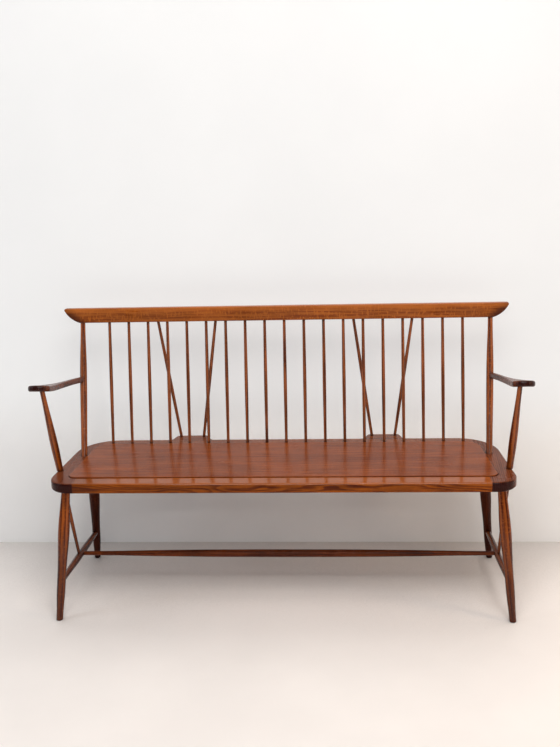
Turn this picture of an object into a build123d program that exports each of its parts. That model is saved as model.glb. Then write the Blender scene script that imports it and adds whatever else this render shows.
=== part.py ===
"""Spindle-back bench with arms, turned legs and a framed seat panel.

X runs to the sitter's left (the viewer's right), Y to the back and Z up. The origin is on the floor, in the
middle of the bounding box. Depths are measured back from the seat's front edge, insets in from the seat's
widest line on each side, so the whole bench follows seat_width.
"""
import os
from math import cos, radians, sin

from build123d import *

# Seat frame
seat_front = -206.0
seat_height = 436.0
seat_thickness = 30.0
seat_depth = 395.0
seat_width = 1412.0
seat_side_taper = 45.0
seat_front_corner = 65.0
seat_back_corner = 130.0
seat_top_round = 6.5
seat_bottom_chamfer = 2.5
front_rail_width = 76.0
back_rail_width = 65.0
end_front_width = 86.0
end_back_width = 108.0

# Rear tails that carry the brace spindles
tail_share = 0.4463
tail_reach = 43.0
tail_root_width = 132.0
tail_end_width = 104.0
tail_root_round = 12.0
tail_end_round = 14.0
tail_seam_margin = 12.0
tail_let_in = 20.0

# Seat panel: a lip rests on the frame and a thicker body fills the opening
panel_front_border = 51.0
panel_side_border = 52.0
panel_back_border = 43.0
panel_front_corner = 22.0
panel_back_corner = 50.0
panel_rise = 3.0
panel_lip = 9.0
panel_thickness = 21.0
panel_edge_round = 2.4
panel_gap = 0.4
panel_quirk = 1.5

# Legs, from the floor to the seat's underside
front_foot_inset = 18.0
front_foot_reach = 21.0
front_leg_inset = 50.5
front_leg_depth = 64.0
rear_foot_inset = 38.0
rear_foot_depth = 421.0
rear_leg_inset = 78.5
rear_leg_depth = 300.0
foot_diameter = 20.5
leg_joint_diameter = 26.5
leg_swell_diameter = 35.0
leg_top_diameter = 26.0
leg_swell_share = 0.66
leg_tenon = 18.0
foot_chamfer = 1.5

# Stretchers, at heights on the leg axes
side_front_height = 117.0
side_rear_height = 108.0
side_end_diameter = 17.5
side_middle_diameter = 21.5
side_end_setback = 3.0
medial_share = 0.545
medial_end_diameter = 13.5
medial_middle_diameter = 25.0
medial_shoulder_diameter = 20.5
medial_shoulder_share = 0.4

# Arm posts: from the arm through the seat to the side stretcher
post_foot_share = 0.492
post_foot_diameter = 10.0
post_seat_diameter = 14.5
post_shoulder_diameter = 20.5
post_swell_diameter = 23.0
post_swell_height = 55.0
post_top_diameter = 14.5
post_top_inset = 7.0
post_top_depth = 55.0
post_tenon = 10.0

# Back: crest rail, stiles, spindles and braces
crest_underside = 829.0
crest_depth = 426.0
crest_lean = 6.0
crest_rise = 46.5
crest_thickness = 26.0
crest_flat_inset = 44.0
crest_tip_overhang = 52.0
crest_end_bulge = 8.0
crest_tip_round = 5.0
crest_edge_round = 3.0
stile_foot_inset = 66.5
stile_foot_depth = 249.0
stile_top_inset = 52.0
stile_top_forward = 1.5
stile_foot_diameter = 19.5
stile_arm_diameter = 22.5
stile_top_diameter = 15.5
stile_foot_tenon = 20.0
stile_top_tenon = 15.0
spindle_count = 19
spindle_row_depth = 363.0
spindle_foot_inset = 136.3
spindle_top_inset = 139.0
spindle_end_diameter = 9.2
spindle_swell_diameter = 11.2
spindle_tenon = 14.0
brace_foot_depth = 424.0
brace_foot_spread = 75.0
brace_top_spread = 187.0
brace_top_setback = 5.0

# Arms: paddles with a slight dip, along a plane that rises to the front
arm_height = 659.0
arm_slope = 12.0
arm_thickness = 18.0
arm_edge_round = 6.5
arm_nose_width = 14.5
arm_nose_offset = 3.0
arm_waist_width = 32.0
arm_waist_forward = 175.0
arm_waist_offset = 43.0
arm_front_forward = 319.5
arm_front_width = 66.5
arm_front_offset = 63.0
arm_dip = 7.4
arm_dip_forward = 220.0
arm_front_upturn = 8.6
arm_dowel_diameter = 8.0
arm_dowel_length = 30.0
arm_dowel_turn = 20.0

# Loose tongues in the seat's joints, and fits
tongue_length = 30.0
tongue_thickness = 7.0
tongue_floor = 6.5
front_tongue_depth = 38.0
front_tongue_width = 42.0
rear_tongue_setback = 52.0
rear_tongue_width = 20.0
tail_tongue_width = 78.0
glue_gap = 0.1
mouth_run = 5.0
joint_run = 19.0
socket_end_gap = 0.4
socket_run = 60.0

seat_underside = seat_height - seat_thickness
ledge_height = seat_height + panel_rise - panel_lip
tongue_height = seat_underside + tongue_floor + tongue_thickness / 2
tail_middle = tail_share * seat_width / 2
side_signs = {"left": -1, "right": 1}
same_depth = 0.01


def place(x, depth, z):
    """A point given by its side position, its depth behind the seat's front edge and its height."""
    return Vector(x, seat_front + depth, z)


def from_side(sign, inset):
    """Side position of a point that lies an inset inside the seat's widest line."""
    return sign * (seat_width / 2 - inset)


def between(start, end, share):
    """The point that lies a share of the way from start to end."""
    return start + (end - start) * share


def at_height(start, end, z):
    """The point at height z on the line through start and end."""
    return between(start, end, (z - start.Z) / (end.Z - start.Z))


def turn(start, end, sections):
    """Turn a piece from start to end. Each section is (from, to, diameter) along it, straight in itself.

    A section of no length only guides the smooth swell between its neighbours, which it leaves and meets level.
    """
    along = (end - start).normalized()
    length = (end - start).length
    profile_plane = Plane(origin=start, x_dir=along, z_dir=along.cross(Vector(0, 0, 1)))
    with BuildSketch(profile_plane) as profile:
        with BuildLine():
            Polyline((length, 0), (0, 0), (0, sections[0][2] / 2))
            swell = []
            for first, last, diameter in sections:
                swell.append((first, diameter / 2))
                if last > first:
                    if len(swell) > 1:
                        Spline(*swell, tangents=[(1, 0), (1, 0)])
                    Line((first, diameter / 2), (last, diameter / 2))
                    swell = [(last, diameter / 2)]
            if len(swell) > 1:
                Spline(*swell, tangents=[(1, 0), (1, 0)])
            Line((length, sections[-1][2] / 2), (length, 0))
        make_face()
    revolve(profile.sketch, axis=Axis(start, along))


def tenons(start, end, start_tenon, end_tenon, start_diameter, end_diameter):
    """First and last section of a turned piece: each tenon, and the straight run outside its mouth."""
    length = (end - start).length
    first = (0, start_tenon + mouth_run, start_diameter)
    return first, (length - end_tenon - mouth_run, length, end_diameter)


def joint_section(start, end, joint, diameter):
    """Straight section of a turned piece on both sides of the point where another piece meets it."""
    middle = (joint - start).dot((end - start).normalized())
    return middle - joint_run, middle + joint_run, diameter


def bore(tip, toward, diameter):
    """Drill the socket of a tenon that ends at tip and comes from the side of toward."""
    out = (toward - tip).normalized()
    with BuildSketch(Plane(origin=tip - out * socket_end_gap, z_dir=out)) as mouth:
        Circle(diameter / 2 + glue_gap)
    extrude(mouth.sketch, amount=socket_run, mode=Mode.SUBTRACT)


def outer_rims(builder):
    """The edges round the two widest faces of a board."""
    faces = builder.faces().sort_by(SortBy.AREA)
    return faces[-1].edges(), faces[-2].edges()


def finish(builder, name):
    """Label a finished piece and write it."""
    builder.part.label = name
    export_step(builder.part, f"parts/{name}.step")


os.makedirs("parts", exist_ok=True)


# Axes of the turned pieces, which the sockets share

def leg_axis(sign, foot_inset, foot_depth, top_inset, top_depth):
    """Foot on the floor and tenon end in the seat, for one leg."""
    foot = place(from_side(sign, foot_inset), foot_depth, 0)
    mouth = place(from_side(sign, top_inset), top_depth, seat_underside)
    return foot, mouth + (mouth - foot).normalized() * leg_tenon


def front_leg_axis(sign):
    return leg_axis(sign, front_foot_inset, -front_foot_reach, front_leg_inset, front_leg_depth)


def rear_leg_axis(sign):
    return leg_axis(sign, rear_foot_inset, rear_foot_depth, rear_leg_inset, rear_leg_depth)


def side_stretcher_axis(sign):
    """Tenon ends in the front and the rear leg, each a little short of the leg's axis."""
    front = at_height(*front_leg_axis(sign), side_front_height)
    rear = at_height(*rear_leg_axis(sign), side_rear_height)
    setback = (rear - front).normalized() * side_end_setback
    return front + setback, rear - setback


def medial_axis():
    """The medial stretcher's tenons end on the axes of the side stretchers."""
    return [between(*side_stretcher_axis(sign), medial_share) for sign in side_signs.values()]


def arm_plane(sign):
    """Middle plane of an arm, with its origin on the stile's axis and local -Y along the arm."""
    joint = at_height(*stile_axis(sign), arm_height)
    return Plane(origin=joint, x_dir=(1, 0, 0), z_dir=(0, sin(radians(arm_slope)), cos(radians(arm_slope))))


def post_axis(sign):
    """Foot on the side stretcher's axis and tenon end inside the arm."""
    foot = between(*side_stretcher_axis(sign), post_foot_share)
    plane = arm_plane(sign)
    over = place(from_side(sign, post_top_inset), post_top_depth, 0)
    rise = (plane.origin - over).dot(plane.z_dir) / plane.z_dir.Z
    mouth = over + Vector(0, 0, rise) - plane.z_dir * (arm_thickness / 2)
    return foot, mouth + (mouth - foot).normalized() * post_tenon


def back_axis(foot, mouth, foot_tenon, top_tenon):
    """Lengthen a line from seat to crest by the tenons at both ends."""
    along = (mouth - foot).normalized()
    return foot - along * foot_tenon, mouth + along * top_tenon


def stile_axis(sign):
    foot = place(from_side(sign, stile_foot_inset), stile_foot_depth, seat_height)
    mouth = place(from_side(sign, stile_top_inset), crest_depth - stile_top_forward, crest_underside)
    return back_axis(foot, mouth, stile_foot_tenon, stile_top_tenon)


def spindle_axis(share):
    """Axis of one spindle, at a share of the way from the middle of the row to its end."""
    foot = place(from_side(share, spindle_foot_inset), spindle_row_depth, seat_height)
    mouth = place(from_side(share, spindle_top_inset), crest_depth, crest_underside)
    return back_axis(foot, mouth, spindle_tenon, spindle_tenon)


def brace_axis(tail_sign, sign):
    """Axis of one brace of the V pair that stands in a tail."""
    middle = tail_sign * tail_middle
    foot = place(middle + sign * brace_foot_spread / 2, brace_foot_depth, seat_height)
    mouth = place(middle + sign * brace_top_spread / 2, crest_depth + brace_top_setback, crest_underside)
    return back_axis(foot, mouth, spindle_tenon, spindle_tenon)


spindle_axes = [spindle_axis(2 * number / (spindle_count - 1) - 1) for number in range(spindle_count)]
brace_axes = [brace_axis(tail, sign) for tail in side_signs.values() for sign in side_signs.values()]


# Seat blank, cut into its pieces below

def seat_half_width(depth):
    """Half width of the seat's straight sides at a depth."""
    return seat_width / 2 - seat_side_taper * depth / seat_depth


def joint_half_width(depth):
    """Half distance between the end pieces at a depth."""
    return seat_width / 2 - end_front_width - (end_back_width - end_front_width) * depth / seat_depth


def tail_corners(middle):
    """Outline of a tail, from its right root to its left root."""
    ends = [(tail_root_width, seat_depth), (tail_end_width, seat_depth + tail_reach)]
    right = [(middle + width / 2, depth) for width, depth in ends]
    left = [(middle - width / 2, depth) for width, depth in reversed(ends)]
    return right + left


def outline(points):
    """Closed face through points of side position and depth."""
    with BuildLine() as path:
        Polyline(*[(x, seat_front + depth) for x, depth in points], close=True)
    make_face(path.edges())


def corners_at(sketch, depth):
    """The outline's corners at a depth, from left to right."""
    y = seat_front + depth
    return sketch.vertices().filter_by_position(Axis.Y, y - same_depth, y + same_depth).sort_by(Axis.X)


def seat_blank():
    """The whole seat frame with its rounded outer edges, before it is parted."""
    front = [(-seat_half_width(0), 0), (seat_half_width(0), 0)]
    back = [(seat_half_width(seat_depth), seat_depth), (-seat_half_width(seat_depth), seat_depth)]
    tails = tail_corners(tail_middle) + tail_corners(-tail_middle)
    with BuildSketch(Plane.XY.offset(seat_underside)) as blank:
        outline([*front, back[0], *tails, back[1]])
        fillet(corners_at(blank, 0), seat_front_corner)
        fillet(corners_at(blank, seat_depth)[1:-1], tail_root_round)
        left_corner, *_, right_corner = corners_at(blank, seat_depth)
        fillet([left_corner, right_corner], seat_back_corner)
        fillet(corners_at(blank, seat_depth + tail_reach), tail_end_round)
    blank_solid = extrude(blank.sketch, amount=seat_thickness)
    rims = blank_solid.edges().group_by(Axis.Z)
    fillet(rims[-1], seat_top_round)
    chamfer(rims[0], seat_bottom_chamfer)


def panel_outline(gap):
    """Outline of the panel's lip, grown by a gap."""
    front_depth = panel_front_border - gap
    back_depth = seat_depth - panel_back_border + gap
    front = seat_half_width(front_depth) - panel_side_border + gap
    back = seat_half_width(back_depth) - panel_side_border + gap
    outline([(-front, front_depth), (front, front_depth), (back, back_depth), (-back, back_depth)])


def opening_outline(gap):
    """Outline of the frame's opening, shrunk by a gap."""
    front_depth = front_rail_width + gap
    back_depth = seat_depth - back_rail_width - gap
    front = joint_half_width(front_depth) - gap
    back = joint_half_width(back_depth) - gap
    outline([(-front, front_depth), (front, front_depth), (back, back_depth), (-back, back_depth)])


def cut_panel_seat():
    """Cut the rebate for the panel's lip, with the open quirk round it, and the opening for its body."""
    with BuildSketch(Plane.XY.offset(ledge_height)) as rebate:
        panel_outline(panel_quirk)
        fillet(corners_at(rebate, panel_front_border - panel_quirk), panel_front_corner + panel_quirk)
        fillet(corners_at(rebate, seat_depth - panel_back_border + panel_quirk), panel_back_corner + panel_quirk)
    extrude(rebate.sketch, amount=seat_thickness, mode=Mode.SUBTRACT)
    with BuildSketch(Plane.XY.offset(seat_underside)) as opening:
        opening_outline(0)
    extrude(opening.sketch, amount=seat_thickness, mode=Mode.SUBTRACT)


def keep_region(points, mode):
    """Keep or cut away the part of the seat over a region."""
    with BuildSketch(Plane.XY.offset(seat_underside)) as region:
        outline(points)
    extrude(region.sketch, amount=seat_thickness, mode=mode)


def tail_region(sign):
    """Footprint of a tail block, with the part of it that is let into the back rail."""
    middle = sign * tail_middle
    half = tail_root_width / 2 + tail_seam_margin
    depths = (seat_depth - tail_let_in, seat_depth + tail_reach)
    return [(middle - half, depths[0]), (middle + half, depths[0]),
            (middle + half, depths[1]), (middle - half, depths[1])]


def tongue(x, depth, run, width, gap, mode):
    """One loose tongue, or with a gap its groove: run along X and width along Y."""
    with Locations(place(x, depth, tongue_height)):
        Box(run + 2 * gap, width + 2 * gap, tongue_thickness + 2 * gap, mode=mode)


def tongues(gap, mode):
    """The loose tongues across the seat's joints. A groove only cuts the piece in hand where it reaches it."""
    end_tongues = [(front_tongue_depth, front_tongue_width),
                   (seat_depth - rear_tongue_setback, rear_tongue_width)]
    for sign in side_signs.values():
        for depth, width in end_tongues:
            tongue(sign * joint_half_width(depth), depth, tongue_length, width, gap, mode)
        tongue(sign * tail_middle, seat_depth - tail_let_in, tail_tongue_width, tongue_length, gap, mode)


with BuildPart() as seat_front_rail:
    seat_blank()
    cut_panel_seat()
    front_joint = joint_half_width(0)
    inner_joint = joint_half_width(front_rail_width)
    keep_region([(-front_joint, 0), (front_joint, 0), (inner_joint, front_rail_width),
                 (-inner_joint, front_rail_width)], Mode.INTERSECT)
    tongues(glue_gap, Mode.SUBTRACT)
finish(seat_front_rail, "seat_front_rail")

with BuildPart() as seat_back_rail:
    seat_blank()
    cut_panel_seat()
    rail_depth = seat_depth - back_rail_width
    inner_joint = joint_half_width(rail_depth)
    back_joint = joint_half_width(seat_depth)
    keep_region([(-inner_joint, rail_depth), (inner_joint, rail_depth), (back_joint, seat_depth),
                 (-back_joint, seat_depth)], Mode.INTERSECT)
    for sign in side_signs.values():
        keep_region(tail_region(sign), Mode.SUBTRACT)
    for foot, top in spindle_axes:
        bore(foot, top, spindle_end_diameter)
    tongues(glue_gap, Mode.SUBTRACT)
finish(seat_back_rail, "seat_back_rail")

for side, sign in side_signs.items():
    with BuildPart() as seat_end:
        seat_blank()
        cut_panel_seat()
        outer = from_side(sign, 0)
        keep_region([(sign * joint_half_width(0), 0), (outer, 0), (outer, seat_depth),
                     (sign * joint_half_width(seat_depth), seat_depth)], Mode.INTERSECT)
        for foot, tenon_end in (front_leg_axis(sign), rear_leg_axis(sign)):
            bore(tenon_end, foot, leg_top_diameter)
        stile_foot, stile_top = stile_axis(sign)
        bore(stile_foot, stile_top, stile_foot_diameter)
        post_foot, post_top = post_axis(sign)
        bore(at_height(post_foot, post_top, seat_underside - mouth_run), post_top, post_seat_diameter)
        tongues(glue_gap, Mode.SUBTRACT)
    finish(seat_end, f"seat_end_{side}")

    with BuildPart() as seat_tail:
        seat_blank()
        keep_region(tail_region(sign), Mode.INTERSECT)
        for foot, top in brace_axes:
            bore(foot, top, spindle_end_diameter)
        tongues(glue_gap, Mode.SUBTRACT)
    finish(seat_tail, f"seat_tail_{side}")

with BuildPart() as seat_panel:
    with BuildSketch(Plane.XY.offset(ledge_height)) as lip:
        panel_outline(0)
        fillet(corners_at(lip, panel_front_border), panel_front_corner)
        fillet(corners_at(lip, seat_depth - panel_back_border), panel_back_corner)
    extrude(amount=panel_lip)
    fillet(seat_panel.edges().group_by(Axis.Z)[-1], panel_edge_round)
    with BuildSketch(Plane.XY.offset(seat_height + panel_rise - panel_thickness)):
        opening_outline(panel_gap)
    extrude(amount=panel_thickness - panel_lip)
finish(seat_panel, "seat_panel")

with BuildPart() as seat_tongues:
    tongues(0, Mode.ADD)
finish(seat_tongues, "seat_tongues")


# Legs and stretchers

def turned_leg(name, axis, side_tenon):
    """A leg that swells above its middle, cut level at the floor and bored for the side stretcher."""
    foot, tenon_end = axis
    start = foot + (foot - tenon_end).normalized() * foot_diameter
    swell = foot_diameter + (tenon_end - foot).length * leg_swell_share
    first, last = tenons(start, tenon_end, foot_diameter, leg_tenon, foot_diameter, leg_top_diameter)
    joint = joint_section(start, tenon_end, side_tenon[0], leg_joint_diameter)
    with BuildPart() as leg:
        turn(start, tenon_end, [first, joint, (swell, swell, leg_swell_diameter), last])
        split(bisect_by=Plane.XY, keep=Keep.TOP)
        chamfer(leg.faces().sort_by(Axis.Z)[0].edges(), foot_chamfer)
        bore(*side_tenon, side_end_diameter)
    finish(leg, name)


for side, sign in side_signs.items():
    side_front, side_rear = side_stretcher_axis(sign)
    turned_leg(f"leg_front_{side}", front_leg_axis(sign), (side_front, side_rear))
    turned_leg(f"leg_rear_{side}", rear_leg_axis(sign), (side_rear, side_front))

    side_tenon = leg_joint_diameter / 2
    first, last = tenons(side_front, side_rear, side_tenon, side_tenon, side_end_diameter, side_end_diameter)
    post_foot, post_top = post_axis(sign)
    medial_ends = medial_axis()
    medial_here = medial_ends[0] if sign < 0 else medial_ends[1]
    medial_there = medial_ends[1] if sign < 0 else medial_ends[0]
    joint = joint_section(side_front, side_rear, (post_foot + medial_here) / 2, side_middle_diameter)
    with BuildPart() as side_stretcher:
        turn(side_front, side_rear, [first, joint, last])
        bore(post_foot, post_top, post_foot_diameter)
        bore(medial_here, medial_there, medial_end_diameter)
    finish(side_stretcher, f"side_stretcher_{side}")

with BuildPart() as medial_stretcher:
    medial_left, medial_right = medial_axis()
    medial_half = (medial_right - medial_left).length / 2
    medial_tenon = side_middle_diameter / 2
    first, last = tenons(medial_left, medial_right, medial_tenon, medial_tenon, medial_end_diameter,
                         medial_end_diameter)
    near = medial_half * medial_shoulder_share
    far = 2 * medial_half - near
    turn(medial_left, medial_right, [first, (near, near, medial_shoulder_diameter),
                                     (medial_half, medial_half, medial_middle_diameter),
                                     (far, far, medial_shoulder_diameter), last])
finish(medial_stretcher, "medial_stretcher")


# Back

def arm_dowel_axis(sign):
    """The dowel runs from the stile's axis into the arm's nose, in the arm's plane."""
    plane = arm_plane(sign)
    turned = Vector(sign * sin(radians(arm_dowel_turn)), -cos(radians(arm_dowel_turn)), 0) * arm_dowel_length
    return plane.origin, plane.from_local_coords(turned)


for side, sign in side_signs.items():
    stile_foot, stile_top = stile_axis(sign)
    first, last = tenons(stile_foot, stile_top, stile_foot_tenon, stile_top_tenon, stile_foot_diameter,
                         stile_top_diameter)
    dowel_start, dowel_end = arm_dowel_axis(sign)
    joint = joint_section(stile_foot, stile_top, dowel_start, stile_arm_diameter)
    with BuildPart() as stile:
        turn(stile_foot, stile_top, [first, joint, last])
        bore(dowel_start, dowel_end, arm_dowel_diameter)
    finish(stile, f"stile_{side}")


def turned_spindle(name, axis):
    """A thin spindle with a slight swell at its middle."""
    foot, top = axis
    length = (top - foot).length
    with BuildPart() as spindle:
        turn(foot, top, [(0, 0, spindle_end_diameter), (length / 2, length / 2, spindle_swell_diameter),
                         (length, length, spindle_end_diameter)])
    finish(spindle, name)


for number, axis in enumerate(spindle_axes, start=1):
    turned_spindle(f"spindle_{number:02d}", axis)

for number, axis in enumerate(brace_axes, start=1):
    turned_spindle(f"brace_spindle_{number}", axis)

with BuildPart() as crest_board:
    half_flat = from_side(1, crest_flat_inset)
    half_tip = half_flat + crest_tip_overhang
    with BuildSketch() as crest_face:
        with BuildLine():
            Line((-half_flat, 0), (half_flat, 0))
            SagittaArc((half_flat, 0), (half_tip, crest_rise), -crest_end_bulge)
            Line((half_tip, crest_rise), (-half_tip, crest_rise))
            SagittaArc((-half_tip, crest_rise), (-half_flat, 0), -crest_end_bulge)
        make_face()
        fillet(crest_face.vertices().group_by(Axis.Y)[-1], crest_tip_round)
    extrude(amount=crest_thickness / 2, both=True)
    for rim in outer_rims(crest_board):
        fillet(rim, crest_edge_round)

with BuildPart() as crest_rail:
    crest_plane = Plane(origin=place(0, crest_depth, crest_underside), x_dir=(1, 0, 0),
                        z_dir=(0, -cos(radians(crest_lean)), sin(radians(crest_lean))))
    add(crest_board.part.moved(crest_plane.location))
    for foot, top in spindle_axes + brace_axes:
        bore(top, foot, spindle_end_diameter)
    for sign in side_signs.values():
        stile_foot, stile_top = stile_axis(sign)
        bore(stile_top, stile_foot, stile_top_diameter)
finish(crest_rail, "crest_rail")


# Arms and their posts

def across_arm(sign, offset, width, forward):
    """Inner and outer point of the arm's outline at a distance forward of the stile."""
    return (sign * (offset - width / 2), -forward), (sign * (offset + width / 2), -forward)


def arm_side_plane(sign):
    """Plane of the arm's side view, with local X forward along the arm and local Y square to it."""
    plane = arm_plane(sign)
    return Plane(origin=plane.origin, x_dir=-plane.y_dir, z_dir=-plane.x_dir)


def arm_curve(rise):
    """Draw the arm's dip and its upturned front at a rise over its middle, and give both ends."""
    start = (0, rise)
    end = (arm_front_forward, rise)
    upturn = (cos(radians(arm_front_upturn)), sin(radians(arm_front_upturn)))
    Spline(start, (arm_dip_forward, rise - arm_dip), end, tangents=[(1, 0), upturn])
    return start, end


def waist_run(start, end):
    """Direction of the outline between two of its points."""
    return end[0] - start[0], end[1] - start[1]


for side, sign in side_signs.items():
    post_foot, post_top = post_axis(sign)
    under_seat = at_height(post_foot, post_top, seat_underside - mouth_run)
    over_seat = at_height(post_foot, post_top, seat_height + mouth_run)
    foot_section, top_section = tenons(post_foot, over_seat, side_middle_diameter / 2,
                                       (over_seat - under_seat).length, post_foot_diameter, post_seat_diameter)
    shoulder_section, tenon_section = tenons(under_seat, post_top, (over_seat - under_seat).length, post_tenon,
                                             post_shoulder_diameter, post_top_diameter)
    swell = shoulder_section[1] + post_swell_height
    with BuildPart() as arm_post:
        turn(under_seat, post_top, [shoulder_section, (swell, swell, post_swell_diameter), tenon_section])
        split(bisect_by=Plane.XY.offset(seat_height + glue_gap), keep=Keep.TOP)
        turn(post_foot, over_seat, [foot_section, top_section])
    finish(arm_post, f"arm_post_{side}")

    stile_foot, stile_top = stile_axis(sign)
    dowel_start, dowel_end = arm_dowel_axis(sign)
    with BuildPart() as arm:
        with BuildSketch(arm_plane(sign)):
            nose_in, nose_out = across_arm(sign, arm_nose_offset, arm_nose_width, 0)
            waist_in, waist_out = across_arm(sign, arm_waist_offset, arm_waist_width, arm_waist_forward)
            front_in, front_out = across_arm(sign, arm_front_offset, arm_front_width,
                                             arm_front_forward - arm_front_width / 2)
            front_middle = (sign * arm_front_offset, -arm_front_forward)
            with BuildLine():
                Line(nose_out, nose_in)
                Spline(nose_in, waist_in, front_in, tangents=[waist_run(nose_in, waist_in), (0, -1)])
                ThreePointArc(front_in, front_middle, front_out)
                Spline(front_out, waist_out, nose_out, tangents=[(0, 1), waist_run(waist_out, nose_out)])
            make_face()
        extrude(amount=arm_thickness, both=True)
        with BuildSketch(arm_side_plane(sign).offset(-arm_front_forward)) as dipped_side:
            with BuildLine():
                over, over_end = arm_curve(arm_thickness / 2)
                under, under_end = arm_curve(-arm_thickness / 2)
                Line(over, under)
                Line(over_end, under_end)
            make_face()
        extrude(dipped_side.sketch, amount=2 * arm_front_forward, mode=Mode.INTERSECT)
        with BuildSketch(Plane(origin=stile_foot, z_dir=stile_top - stile_foot)) as stile_round:
            Circle(stile_arm_diameter / 2 + glue_gap)
        extrude(stile_round.sketch, amount=(stile_top - stile_foot).length, mode=Mode.SUBTRACT)
        for rim in outer_rims(arm):
            fillet(rim.sort_by_distance(dowel_start)[1:], arm_edge_round)
        bore(dowel_end, dowel_start, arm_dowel_diameter)
        bore(post_top, post_foot, post_top_diameter)
    finish(arm, f"arm_{side}")

    with BuildPart() as arm_dowel:
        with BuildSketch(Plane(origin=dowel_start, z_dir=dowel_end - dowel_start)):
            Circle(arm_dowel_diameter / 2)
        extrude(amount=arm_dowel_length)
    finish(arm_dowel, f"arm_dowel_{side}")
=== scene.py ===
"""Looks of the spindle-back bench: wood on every CAD piece, and a floor, a wall, lights and a camera.

Lengths are in metres in the bench's own frame: X to the viewer's right, Y away from the viewer, Z up.
"""
from math import pi

import bpy
import numpy as np
from mathutils import Matrix, Vector


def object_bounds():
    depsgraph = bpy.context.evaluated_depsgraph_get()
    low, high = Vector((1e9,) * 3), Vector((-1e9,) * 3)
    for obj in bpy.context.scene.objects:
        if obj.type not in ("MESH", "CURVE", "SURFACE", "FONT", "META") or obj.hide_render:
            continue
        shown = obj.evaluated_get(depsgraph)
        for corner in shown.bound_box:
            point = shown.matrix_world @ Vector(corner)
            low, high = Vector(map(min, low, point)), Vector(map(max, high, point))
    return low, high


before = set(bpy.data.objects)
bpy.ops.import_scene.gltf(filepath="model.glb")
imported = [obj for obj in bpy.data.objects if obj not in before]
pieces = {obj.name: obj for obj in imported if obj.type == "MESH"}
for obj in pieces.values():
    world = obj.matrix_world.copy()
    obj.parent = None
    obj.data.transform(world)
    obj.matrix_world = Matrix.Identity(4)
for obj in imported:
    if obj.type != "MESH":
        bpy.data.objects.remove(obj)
cad_low, cad_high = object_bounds()
scene = bpy.context.scene

# Camera, fitted to the photograph's outline
camera_place = Vector((0.2357, -3.2753, 1.6652))
camera_yaw = 0.0726
camera_pitch = -0.2821
camera_roll = 0.0312
camera_focal_px = 1122.0
photo_height_px = 747.0

# Stage
wall_gap = 0.098
stage_reach = 7.0
wall_height = 4.5
floor_colour = (0.88, 0.83, 0.80)
floor_shade_reach = 0.5
floor_shade_band = (0.3, 0.95)
floor_shade = 0.60
wall_colour = (0.90, 0.90, 0.90)
wash_colour = (0.91, 0.91, 0.91)
wash_share = 0.55
wash_low = 0.30
wash_high = 0.60
paint_roughness = 0.75
paint_patch_scale = 1.7
paint_band = (0.3, 0.7)
paint_darkest = 0.96
paint_palest = 1.03

# Light
sky_colour = (0.95, 0.97, 1.0)
sky_strength = 0.12
studio_white = (1.0, 0.98, 0.95)
window_blue = (0.80, 0.90, 1.0)
lamp_amber = (1.0, 0.74, 0.52)
light_aim = Vector((0.0, 0.0, 0.45))
lights = {
    "key_light": dict(place=Vector((0.3, -1.7, 3.3)), size=(2.6, 1.2), power=70.0, tone=studio_white),
    "front_light": dict(place=Vector((0.5, -3.8, 2.5)), size=(3.0, 1.2), power=42.0, tone=studio_white),
    "rear_light": dict(place=Vector((-0.4, 1.9, 3.3)), size=(3.0, 1.4), power=9.0, tone=studio_white),
    "window_light": dict(place=Vector((-2.7, -0.9, 1.5)), size=(0.5, 1.5), power=9.0, tone=window_blue),
    "lamp_light": dict(place=Vector((2.7, -0.9, 1.5)), size=(0.5, 1.5), power=15.0, tone=lamp_amber),
}

# Figure of the wood: lengths run along the fibres, widths across them, and a mark fades over its band
noise_middle = 0.5
ring_spacing = 0.0062
ring_sway = 0.012
ring_rise_band = (0.0, 0.75)
ring_fall_band = (0.88, 1.0)
sway_length = 0.32
sway_width = 0.05
streak_length = 0.17
streak_width = 0.0065
streak_share = 0.65
fibre_length = 0.03
fibre_width = 0.0008
fibre_band = (0.30, 0.70)
pore_length = 0.009
pore_width = 0.0005
pore_band = (0.63, 0.74)
pore_share = 0.55
fleck_length = 0.0045
fleck_width = 0.0135
fleck_band = (0.52, 0.70)
stain_band = (0.12, 0.88)
cloud_length = 0.16
cloud_width = 0.045
cloud_band = (0.3, 0.7)
cloud_darkest = 0.55
cloud_palest = 1.25
end_grain_band = (0.3, 0.75)

# Varnish
rubbed_patch_scale = 11.0
rubbed_band = (0.3, 0.75)
rubbed_smoother = -0.05
rubbed_rougher = 0.08
fibre_roughness = 0.05
pore_roughness = 0.12
fibre_height = 0.35
pore_height = -0.8
bump_strength = 0.25
bump_depth = 0.0004
polish_roughness = 0.06

# Wear and dirt with painted shade on all the wood, with tones as a share of the stain's own; the worn tone
# also paints highlights
edge_width = 0.0025
edge_band = (0.90, 0.99)
corner_width = 0.012
corner_band = (0.45, 0.96)
wear_patch_scale = 28.0
wear_band = (0.42, 0.68)
edge_wear = 0.45
corner_dirt_and_shade = 0.8
worn_and_highlight_tone = 1.5
dirt_and_shade_tone = 0.35
end_ring_tone = 0.55

# Marks on single pieces, some of them painted highlights, measured from the floor, the rails' tops, the
# bench's middle and its left end
floor_darkening_height = 0.36
floor_darkening_share = 0.75
crest_top = cad_high.z
scoop_reach = 0.7152
scoop_slope = 1.13
tip_depth = 0.042
tip_share = 0.8
# Painted highlight along the crest rail's upper edge
crest_highlight_start = 0.0183
crest_highlight_full = 0.0083
crest_highlight_share = 0.4
rail_top = max(vertex.co.z for vertex in pieces["seat_front_rail"].data.vertices)
# Painted highlight on the front rail's upper face, which also marks its real polish
rail_polish_highlight_depth = 0.006
rail_polish_highlight_share = 0.5
bench_left = cad_low.x
rail_polish_highlight_from = 0.044
rail_polish_highlight_to = 0.294
rail_polish_highlight_least = 0.35
dark_end_from = 0.064
dark_end_to = 0.324
dark_end_share = 0.5

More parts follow.
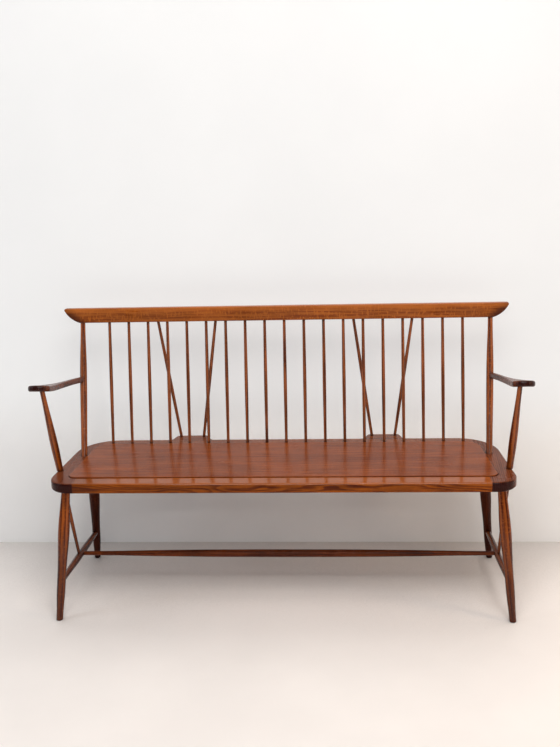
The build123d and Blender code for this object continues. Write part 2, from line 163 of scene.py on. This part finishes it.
# Finishes: the stain's dark and light tone, the middle of the tree in grain space, and each mark's strength
plum = (0.030, 0.004, 0.002)
panel_finish = dict(
    dark=(0.165, 0.031, 0.006), light=(0.275, 0.064, 0.011), pith=(0.3, 0.05, -0.33),
    rings=0.15, clouds=0.4, roughness=0.2, spacing=0.011, sway=0.03, shine=0.13, board_width=0.115)
front_rail_finish = dict(
    dark=(0.075, 0.010, 0.0004), light=(0.27, 0.062, 0.003), pith=(0.1, 0.12, -0.47),
    rings=0.45, flecks=0.08, clouds=0.5, roughness=0.15, spacing=0.0052, sway=0.04, shine=0.12)
back_rail_finish = dict(
    dark=(0.11, 0.024, 0.006), light=(0.28, 0.075, 0.020), pith=(0.6, -0.1, -0.46),
    rings=0.4, roughness=0.27, sway=0.03)
end_finish = dict(
    dark=(0.080, 0.018, 0.007), light=(0.21, 0.056, 0.020), pith=(0.2, 1.5, -0.42),
    rings=0.45, roughness=0.22, sway=0.02, shine=0.12)
tail_finish = dict(
    dark=(0.10, 0.022, 0.006), light=(0.26, 0.070, 0.020), pith=(0.9, -0.2, -0.40),
    rings=0.4, roughness=0.27, sway=0.03)
crest_finish = dict(
    dark=(0.17, 0.034, 0.004), light=(0.35, 0.096, 0.014), pith=(0.0, -0.30, -0.82),
    rings=0.12, flecks=0.7, roughness=0.33)
spindle_finish = dict(
    dark=(0.070, 0.016, 0.006), light=(0.31, 0.088, 0.028),
    rings=0.4, clouds=0.7)
# The turned pieces' wide ring stripes are wood figure and also a painted highlight band along them
turned_stain_and_highlight_finish = dict(
    dark=(0.070, 0.010, 0.002), light=(0.33, 0.078, 0.012),
    flecks=0.25, clouds=0.6, roughness=0.2, spacing=0.013, shine=0.3)
# The rear legs' tones are darker than the front legs' as painted shade under the seat
rear_leg_painted_shade_finish = dict(
    dark=(0.030, 0.004, 0.001), light=(0.095, 0.018, 0.003),
    rings=0.2, flecks=0.25, clouds=0.6, shine=0.08)
arm_finish = dict(
    dark=(0.050, 0.011, 0.005), light=(0.15, 0.038, 0.014), pith=(0, 0, -0.7),
    rings=0.35, roughness=0.27)
# The medial stretcher's tones are darker than the other turned pieces' as painted shade under the seat
medial_painted_shade_finish = dict(
    dark=(0.055, 0.008, 0.002), light=(0.17, 0.036, 0.006), pith=(0, 0.1, -0.1),
    rings=0.2, clouds=0.6, shine=0.15)
bare_finish = dict(
    dark=(0.42, 0.27, 0.15), light=(0.66, 0.48, 0.30), end_tone=(0.5, 0.33, 0.2),
    roughness=0.6)


# Node helpers

def add_node(tree, kind, inputs=None, **settings):
    """A node with its settings, and its inputs set to a value or linked to a socket."""
    made = tree.nodes.new(kind)
    for name, value in settings.items():
        setattr(made, name, value)
    for name, value in (inputs or {}).items():
        if isinstance(value, bpy.types.NodeSocket):
            tree.links.new(value, made.inputs[name])
        else:
            made.inputs[name].default_value = value
    return made


def math_node(tree, operation, first, second=0.0, clamp=False):
    """Arithmetic on numbers or sockets."""
    made = add_node(tree, "ShaderNodeMath", {0: first, 1: second}, operation=operation, use_clamp=clamp)
    return made.outputs[0]


def vector_node(tree, operation, first, second=None):
    """Arithmetic on vectors or sockets."""
    inputs = {0: first} if second is None else {0: first, 1: second}
    return add_node(tree, "ShaderNodeVectorMath", inputs, operation=operation).outputs


def mix_colour(tree, share, first, second, blend="MIX"):
    """Two colours blended by a share, through the Mix node's colour sockets."""
    inputs = {0: share, 6: first, 7: second}
    return add_node(tree, "ShaderNodeMix", inputs, data_type="RGBA", blend_type=blend).outputs[2]


def smooth_range(tree, value, low, high, to_low=0.0, to_high=1.0):
    """Value between low and high, eased and mapped to another range."""
    inputs = {"Value": value, "From Min": low, "From Max": high, "To Min": to_low, "To Max": to_high}
    return add_node(tree, "ShaderNodeMapRange", inputs, interpolation_type="SMOOTHSTEP").outputs["Result"]


def stretched(tree, vector, along, across):
    """Grain space scaled to features of a length along the fibres and a width across them."""
    return vector_node(tree, "MULTIPLY", vector, (1 / along, 1 / across, 1 / across))[0]


def noise(tree, vector, scale=1.0, detail=2.0, roughness=0.5):
    """Soft noise from 0 to 1."""
    inputs = {"Vector": vector, "Scale": scale, "Detail": detail, "Roughness": roughness}
    return add_node(tree, "ShaderNodeTexNoise", inputs).outputs["Fac"]


def split_axes(tree, vector):
    """X, Y and Z of a vector."""
    return add_node(tree, "ShaderNodeSeparateXYZ", {0: vector}).outputs


def rgba(tone, strength=1.0):
    """A tone made darker or paler, with full opacity."""
    return (*[strength * part for part in tone], 1)


def new_material(name):
    """An empty material with its node tree and shader."""
    material = bpy.data.materials.new(name)
    material.use_nodes = True
    return material, material.node_tree, material.node_tree.nodes["Principled BSDF"]


def shader_group(name, inputs, outputs):
    """An empty node group with its sockets, and its input and output nodes."""
    tree = bpy.data.node_groups.new(name, "ShaderNodeTree")
    for socket, kind in inputs.items():
        tree.interface.new_socket(socket, in_out="INPUT", socket_type=kind)
    for socket, kind in outputs.items():
        tree.interface.new_socket(socket, in_out="OUTPUT", socket_type=kind)
    return tree, tree.nodes.new("NodeGroupInput").outputs, tree.nodes.new("NodeGroupOutput").inputs


def place_group(tree, group, inputs):
    """A shared effect placed in a material with its own values."""
    return add_node(tree, "ShaderNodeGroup", inputs, node_tree=group).outputs


number = "NodeSocketFloat"
colour = "NodeSocketColor"
direction = "NodeSocketVector"


# Shared effects

def make_figure_group():
    """Growth rings, fibres, pores and cross flecks of the wood, in a space whose X runs along the fibres."""
    tree, given, result = shader_group(
        "wood_figure",
        {"Vector": direction, "Ring Spacing": number, "Sway": number},
        {"Rings": number, "Fibres": number, "Pores": number, "Flecks": number})
    vector = given["Vector"]
    sway = noise(tree, stretched(tree, vector, sway_length, sway_width))
    sway_offset = math_node(tree, "MULTIPLY", math_node(tree, "SUBTRACT", sway, noise_middle), given["Sway"])
    sideways = add_node(tree, "ShaderNodeCombineXYZ", {"Y": sway_offset, "Z": sway_offset}).outputs[0]
    swayed = vector_node(tree, "ADD", vector, sideways)[0]
    across = vector_node(tree, "MULTIPLY", swayed, (0, 1, 1))[0]
    radius = vector_node(tree, "LENGTH", across)["Value"]
    turns = math_node(tree, "FRACT", math_node(tree, "DIVIDE", radius, given["Ring Spacing"]))
    early = smooth_range(tree, turns, *ring_rise_band)
    late = smooth_range(tree, turns, *ring_fall_band, 1.0, 0.0)
    tree.links.new(math_node(tree, "MULTIPLY", early, late), result["Rings"])

    streaks = noise(tree, stretched(tree, vector, streak_length, streak_width), detail=3.0, roughness=0.6)
    fine = noise(tree, stretched(tree, vector, fibre_length, fibre_width))
    streak_part = math_node(tree, "MULTIPLY", streaks, streak_share)
    fine_part = math_node(tree, "MULTIPLY", fine, 1 - streak_share)
    fibres = math_node(tree, "ADD", streak_part, fine_part)
    tree.links.new(smooth_range(tree, fibres, *fibre_band), result["Fibres"])

    pores = noise(tree, stretched(tree, vector, pore_length, pore_width), detail=1.0)
    tree.links.new(smooth_range(tree, pores, *pore_band), result["Pores"])

    flecks = noise(tree, stretched(tree, vector, fleck_length, fleck_width))
    tree.links.new(smooth_range(tree, flecks, *fleck_band), result["Flecks"])
    return tree


def make_stain_group():
    """Stained colour of the figure, clouded where the stain took unevenly."""
    tree, given, result = shader_group(
        "wood_stain",
        {"Vector": direction, "Rings": number, "Fibres": number, "Pores": number, "Flecks": number,
         "Dark": colour, "Light": colour,
         "Ring Weight": number, "Fleck Weight": number, "Cloud Weight": number},
        {"Color": colour})
    ring_part = math_node(tree, "MULTIPLY", given["Rings"], given["Ring Weight"])
    fibre_weight = math_node(tree, "SUBTRACT", 1.0, given["Ring Weight"])
    fibre_part = math_node(tree, "MULTIPLY", given["Fibres"], fibre_weight)
    fleck_part = math_node(tree, "MULTIPLY", given["Flecks"], given["Fleck Weight"])
    grain_part = math_node(tree, "ADD", ring_part, fibre_part)
    share = math_node(tree, "ADD", grain_part, fleck_part, clamp=True)
    stained = mix_colour(tree, smooth_range(tree, share, *stain_band), given["Dark"], given["Light"])

    cloud = noise(tree, stretched(tree, given["Vector"], cloud_length, cloud_width), detail=3.0)
    shade = smooth_range(tree, cloud, *cloud_band, cloud_darkest, cloud_palest)
    grey = add_node(tree, "ShaderNodeCombineColor", {0: shade, 1: shade, 2: shade}).outputs[0]
    clouded = mix_colour(tree, given["Cloud Weight"], stained, grey, "MULTIPLY")
    pored = math_node(tree, "MULTIPLY", given["Pores"], pore_share)
    tree.links.new(mix_colour(tree, pored, clouded, given["Dark"]), result["Color"])
    return tree


def make_end_grain_group():
    """Mask of the faces that cut across the fibres."""
    tree, given, result = shader_group("end_grain", {"Axis": direction}, {"Mask": number})
    facing = add_node(tree, "ShaderNodeNewGeometry").outputs["Normal"]
    along = vector_node(tree, "DOT_PRODUCT", facing, given["Axis"])["Value"]
    tree.links.new(smooth_range(tree, math_node(tree, "ABSOLUTE", along), *end_grain_band), result["Mask"])
    return tree


def make_edge_group():
    """Mask of worn edges, and of the corners between pieces, darkened for gathered stain and dust and as
    painted shade.
    """
    tree, given, result = shader_group(
        "edges_and_corners",
        {"Vector": direction, "Edge Width": number, "Corner Width": number},
        {"Worn": number, "Corner": number})
    facing = add_node(tree, "ShaderNodeNewGeometry").outputs["Normal"]
    rounded = add_node(tree, "ShaderNodeBevel", {"Radius": given["Edge Width"]}, samples=6).outputs[0]
    flatness = vector_node(tree, "DOT_PRODUCT", facing, rounded)["Value"]
    edge = smooth_range(tree, flatness, *edge_band, 1.0, 0.0)
    patches = noise(tree, given["Vector"], scale=wear_patch_scale, detail=4.0)
    patchy = smooth_range(tree, patches, *wear_band)
    openness = add_node(tree, "ShaderNodeAmbientOcclusion", {"Distance": given["Corner Width"]}, samples=8)
    corner = smooth_range(tree, openness.outputs["AO"], *corner_band, 1.0, 0.0)
    in_the_open = math_node(tree, "SUBTRACT", 1.0, corner)
    worn = math_node(tree, "MULTIPLY", math_node(tree, "MULTIPLY", edge, patchy), in_the_open)
    tree.links.new(worn, result["Worn"])
    tree.links.new(corner, result["Corner"])
    return tree


def make_varnish_group():
    """Roughness of the varnish with patches worn smoother or rougher, and the height of fibres and pores
    under it.
    """
    tree, given, result = shader_group(
        "varnish",
        {"Vector": direction, "Fibres": number, "Pores": number, "Roughness": number},
        {"Roughness": number, "Height": number})
    patches = noise(tree, given["Vector"], scale=rubbed_patch_scale, detail=5.0)
    rubbed_and_painted_highlight = smooth_range(tree, patches, *rubbed_band, rubbed_smoother, rubbed_rougher)
    fibre_swing = math_node(tree, "SUBTRACT", given["Fibres"], noise_middle)
    fibre_part = math_node(tree, "MULTIPLY", fibre_swing, fibre_roughness)
    pore_part = math_node(tree, "MULTIPLY", given["Pores"], pore_roughness)
    rough = math_node(tree, "ADD", math_node(tree, "ADD", given["Roughness"], rubbed_and_painted_highlight), fibre_part)
    tree.links.new(math_node(tree, "ADD", rough, pore_part), result["Roughness"])

    raised = math_node(tree, "MULTIPLY", given["Fibres"], fibre_height)
    sunk = math_node(tree, "MULTIPLY", given["Pores"], pore_height)
    tree.links.new(math_node(tree, "ADD", raised, sunk), result["Height"])
    return tree


figure_group = make_figure_group()
stain_group = make_stain_group()
end_grain_group = make_end_grain_group()
edge_group = make_edge_group()
varnish_group = make_varnish_group()


# Marks on single pieces, painted highlights among them

def darker_towards_floor(tree, axes):
    """Mask of the legs and stretchers, darker towards the floor."""
    return smooth_range(tree, axes["Z"], 0.0, floor_darkening_height, floor_darkening_share, 0.0)


def soaked_tips(tree, axes):
    """Mask of the crest rail's scooped tips, where the end grain drank more stain."""
    below_top = math_node(tree, "SUBTRACT", crest_top, axes["Z"])
    scoop = math_node(tree, "SUBTRACT", scoop_reach, math_node(tree, "MULTIPLY", below_top, scoop_slope))
    inside = math_node(tree, "SUBTRACT", scoop, math_node(tree, "ABSOLUTE", axes["X"]))
    return smooth_range(tree, inside, 0.0, tip_depth, tip_share, 0.0)


def painted_crest_highlight(tree, axes):
    """Mask of the crest rail's upper edge, made paler as a painted highlight."""
    return smooth_range(tree, axes["Z"], crest_top - crest_highlight_start, crest_top - crest_highlight_full,
                        0.0, crest_highlight_share)


def polish_and_painted_highlight_on_rail(tree, axes):
    """Mask of the front rail's upper face, for a real polish of its varnish and a painted highlight on its
    colour, less at the left end.
    """
    along = smooth_range(tree, axes["X"], bench_left + rail_polish_highlight_from, bench_left + rail_polish_highlight_to,
                         rail_polish_highlight_least, 1.0)
    upper = smooth_range(tree, axes["Z"], rail_top - rail_polish_highlight_depth, rail_top, 0.0, rail_polish_highlight_share)
    return math_node(tree, "MULTIPLY", along, upper)


def dark_end(tree, axes):
    """Mask of the front rail's left end, made darker."""
    return smooth_range(tree, axes["X"], bench_left + dark_end_from, bench_left + dark_end_to,
                        dark_end_share, 0.0)


def glued_boards(tree, vector, width):
    """Grain space shifted from board to board of a glued-up panel."""
    board = math_node(tree, "FLOOR", math_node(tree, "DIVIDE", split_axes(tree, vector)["Y"], width))
    shift = add_node(tree, "ShaderNodeTexWhiteNoise", {"W": board}, noise_dimensions="1D").outputs["Color"]
    return vector_node(tree, "ADD", vector, shift)[0]


# Wood, one material for each run of the grain

def long_axis(*names):
    """Direction in which the named pieces are longest, with their places left out."""
    vertex_step = 7
    spread = []
    for name in names:
        places = np.array([vertex.co for vertex in pieces[name].data.vertices])
        spread.append(places - places.mean(axis=0))
    return Vector(np.linalg.svd(np.concatenate(spread)[::vertex_step], full_matrices=False)[2][0])


def stained_wood(name, grain, dark, light, end_tone=plum, pith=(0, 0, 0), rings=0.5, flecks=0.15, clouds=0.35,
                 roughness=0.3, spacing=ring_spacing, sway=ring_sway, shine=0.25, board_width=None,
                 darkened=None, rubbed_and_painted_highlight=None, polished=None):
    """Varnished wood whose fibres run along grain, with its own marks and painted highlights."""
    material, tree, shader = new_material(name)
    shader.inputs["Specular IOR Level"].default_value = shine
    shader.inputs["Coat Roughness"].default_value = polish_roughness

    place = add_node(tree, "ShaderNodeTexCoord").outputs["Object"]
    turn = Vector(grain).rotation_difference(Vector((1, 0, 0))).to_euler()
    turned = add_node(tree, "ShaderNodeMapping", {"Vector": place, "Rotation": turn, "Location": pith})
    grain_space = turned.outputs[0]
    if board_width:
        grain_space = glued_boards(tree, grain_space, board_width)
    axes = split_axes(tree, place)

    figure = place_group(tree, figure_group, {"Vector": grain_space, "Ring Spacing": spacing, "Sway": sway})
    stained = place_group(tree, stain_group, {
        "Vector": grain_space, "Rings": figure["Rings"], "Fibres": figure["Fibres"], "Pores": figure["Pores"],
        "Flecks": figure["Flecks"], "Dark": rgba(dark), "Light": rgba(light), "Ring Weight": rings,
        "Fleck Weight": flecks, "Cloud Weight": clouds})
    end = place_group(tree, end_grain_group, {"Axis": grain})
    edges = place_group(tree, edge_group, {
        "Vector": place, "Edge Width": edge_width, "Corner Width": corner_width})
    varnish = place_group(tree, varnish_group, {
        "Vector": place, "Fibres": figure["Fibres"], "Pores": figure["Pores"], "Roughness": roughness})

    cut_colour = mix_colour(tree, figure["Rings"], rgba(end_tone, end_ring_tone), rgba(end_tone))
    body = mix_colour(tree, end["Mask"], stained["Color"], cut_colour)
    if darkened:
        body = mix_colour(tree, darkened(tree, axes), body, rgba(end_tone))
    if polished:
        tree.links.new(polished(tree, axes), shader.inputs["Coat Weight"])
    # Painted highlight: the marked top is made paler, in the worn tone.
    if rubbed_and_painted_highlight:
        body = mix_colour(tree, rubbed_and_painted_highlight(tree, axes), body, rgba(light, worn_and_highlight_tone))
    worn_share = math_node(tree, "MULTIPLY", edges["Worn"], edge_wear)
    worn = mix_colour(tree, worn_share, body, rgba(light, worn_and_highlight_tone))
    # Corners between pieces are darkened for gathered stain and dust and as painted shade.
    dirt_and_shade_share = math_node(tree, "MULTIPLY", edges["Corner"], corner_dirt_and_shade)
    tree.links.new(mix_colour(tree, dirt_and_shade_share, worn, rgba(dark, dirt_and_shade_tone)), shader.inputs["Base Color"])
    tree.links.new(varnish["Roughness"], shader.inputs["Roughness"])
    bump = add_node(tree, "ShaderNodeBump", {
        "Strength": bump_strength, "Distance": bump_depth, "Height": varnish["Height"]})
    tree.links.new(bump.outputs[0], shader.inputs["Normal"])
    return material


def dress(material, *names):
    """Put a material on named pieces."""
    for name in names:
        slots = pieces[name].data.materials
        slots.clear()
        slots.append(material)


along_x = Vector((1, 0, 0))
along_y = Vector((0, 1, 0))
spindles = [name for name in pieces if "spindle" in name]

dress(stained_wood("panel_wood", along_x, **panel_finish), "seat_panel")
dress(stained_wood("front_rail_wood", along_x, **front_rail_finish,
                   darkened=dark_end, rubbed_and_painted_highlight=polish_and_painted_highlight_on_rail, polished=polish_and_painted_highlight_on_rail),
      "seat_front_rail")
dress(stained_wood("back_rail_wood", along_x, **back_rail_finish), "seat_back_rail")
dress(stained_wood("end_wood", along_y, **end_finish), "seat_end_left", "seat_end_right")
dress(stained_wood("tail_wood", along_x, **tail_finish), "seat_tail_left", "seat_tail_right")
dress(stained_wood("crest_wood", along_x, **crest_finish, darkened=soaked_tips, rubbed_and_painted_highlight=painted_crest_highlight),
      "crest_rail")
dress(stained_wood("spindle_wood", long_axis(*spindles), **spindle_finish), *spindles)
for side in ("left", "right"):
    for name in (f"leg_front_{side}", f"stile_{side}", f"arm_post_{side}", f"side_stretcher_{side}"):
        dress(stained_wood(f"{name}_wood", long_axis(name), **turned_stain_and_highlight_finish, darkened=darker_towards_floor), name)
    rear_leg = f"leg_rear_{side}"
    dress(stained_wood(f"{rear_leg}_wood", long_axis(rear_leg), **rear_leg_painted_shade_finish, darkened=darker_towards_floor),
          rear_leg)
    arm = f"arm_{side}"
    dress(stained_wood(f"{arm}_wood", long_axis(arm), **arm_finish), arm)
dress(stained_wood("medial_wood", along_x, **medial_painted_shade_finish), "medial_stretcher")
dress(stained_wood("bare_joint_wood", along_x, **bare_finish),
      "seat_tongues", "arm_dowel_left", "arm_dowel_right")


# Stage, light and camera

def flat_sheet(name, corners, material):
    """A four-cornered sheet of the stage."""
    mesh = bpy.data.meshes.new(name)
    mesh.from_pydata(corners, [], [range(len(corners))])
    mesh.materials.append(material)
    sheet = bpy.data.objects.new(name, mesh)
    scene.collection.objects.link(sheet)


def matt_paint(name, tone):
    """Pale stage paint with a faint unevenness."""
    material, tree, shader = new_material(name)
    shader.inputs["Roughness"].default_value = paint_roughness
    place = add_node(tree, "ShaderNodeTexCoord").outputs["Object"]
    patches = noise(tree, place, scale=paint_patch_scale, detail=5.0)
    shade = smooth_range(tree, patches, *paint_band, paint_darkest, paint_palest)
    tree.links.new(vector_node(tree, "MULTIPLY", tone, shade)[0], shader.inputs["Base Color"])
    return material


def shaded_floor(material):
    """Deepen the floor's tone as painted shade where the bench and the wall close it in."""
    tree = material.node_tree
    base = tree.nodes["Principled BSDF"].inputs["Base Color"]
    painted = base.links[0].from_socket
    openness = add_node(tree, "ShaderNodeAmbientOcclusion", {"Distance": floor_shade_reach}, samples=8)
    shade = smooth_range(tree, openness.outputs["AO"], *floor_shade_band, floor_shade, 1.0)
    tree.links.new(vector_node(tree, "MULTIPLY", painted, shade)[0], base)
    return material


def pale_wall(material):
    """Wash the wall with an even pale tone from the seat up, and let sight and light through from behind."""
    tree = material.node_tree
    painted = tree.nodes["Principled BSDF"].outputs[0]
    ray = add_node(tree, "ShaderNodeLightPath").outputs
    seen = math_node(tree, "ADD", ray["Is Camera Ray"], ray["Is Glossy Ray"])
    seen = math_node(tree, "ADD", seen, ray["Is Transmission Ray"], clamp=True)
    place = add_node(tree, "ShaderNodeTexCoord").outputs["Object"]
    height = split_axes(tree, place)["Z"]
    high_up = smooth_range(tree, height, wash_low, wash_high, 0.0, wash_share)
    share = math_node(tree, "MULTIPLY", seen, high_up)
    wash = add_node(tree, "ShaderNodeEmission", {"Color": rgba(wash_colour)}).outputs[0]
    front = add_node(tree, "ShaderNodeMixShader", {0: share, 1: painted, 2: wash}).outputs[0]
    backfacing = add_node(tree, "ShaderNodeNewGeometry").outputs["Backfacing"]
    behind = math_node(tree, "MAXIMUM", backfacing, ray["Is Shadow Ray"])
    clear = add_node(tree, "ShaderNodeBsdfTransparent").outputs[0]
    mixed = add_node(tree, "ShaderNodeMixShader", {0: behind, 1: front, 2: clear}).outputs[0]
    tree.links.new(mixed, tree.nodes["Material Output"].inputs["Surface"])
    return material


def soft_light(name, place, size, power, tone):
    """A rectangular studio light turned to the bench."""
    lamp = bpy.data.lights.new(name, "AREA")
    lamp.shape = "RECTANGLE"
    lamp.size, lamp.size_y = size
    lamp.energy = power
    lamp.color = tone
    holder = bpy.data.objects.new(name, lamp)
    holder.location = place
    holder.rotation_euler = (light_aim - place).to_track_quat("-Z", "Y").to_euler()
    scene.collection.objects.link(holder)


wall_y = cad_high.y + wall_gap
flat_sheet("floor", [(-stage_reach, -stage_reach, 0), (stage_reach, -stage_reach, 0),
                     (stage_reach, stage_reach, 0), (-stage_reach, stage_reach, 0)],
           shaded_floor(matt_paint("floor_paint", floor_colour)))
flat_sheet("wall", [(-stage_reach, wall_y, 0), (stage_reach, wall_y, 0),
                    (stage_reach, wall_y, wall_height), (-stage_reach, wall_y, wall_height)],
           pale_wall(matt_paint("wall_paint", wall_colour)))

for name, light in lights.items():
    soft_light(name, **light)
world = bpy.data.worlds.new("studio")
world.use_nodes = True
world.node_tree.nodes["Background"].inputs["Color"].default_value = rgba(sky_colour)
world.node_tree.nodes["Background"].inputs["Strength"].default_value = sky_strength
scene.world = world

lens = bpy.data.cameras.new("photo_camera")
lens.lens = camera_focal_px * lens.sensor_width / photo_height_px
camera = bpy.data.objects.new("photo_camera", lens)
heading = Matrix.Rotation(camera_yaw, 4, "Z") @ Matrix.Rotation(camera_pitch, 4, "X")
level = Matrix.Rotation(camera_roll, 4, "Y") @ Matrix.Rotation(pi / 2, 4, "X")
camera.matrix_world = Matrix.Translation(camera_place) @ heading @ level
scene.collection.objects.link(camera)
scene.camera = camera
scene.view_settings.view_transform = "Standard"
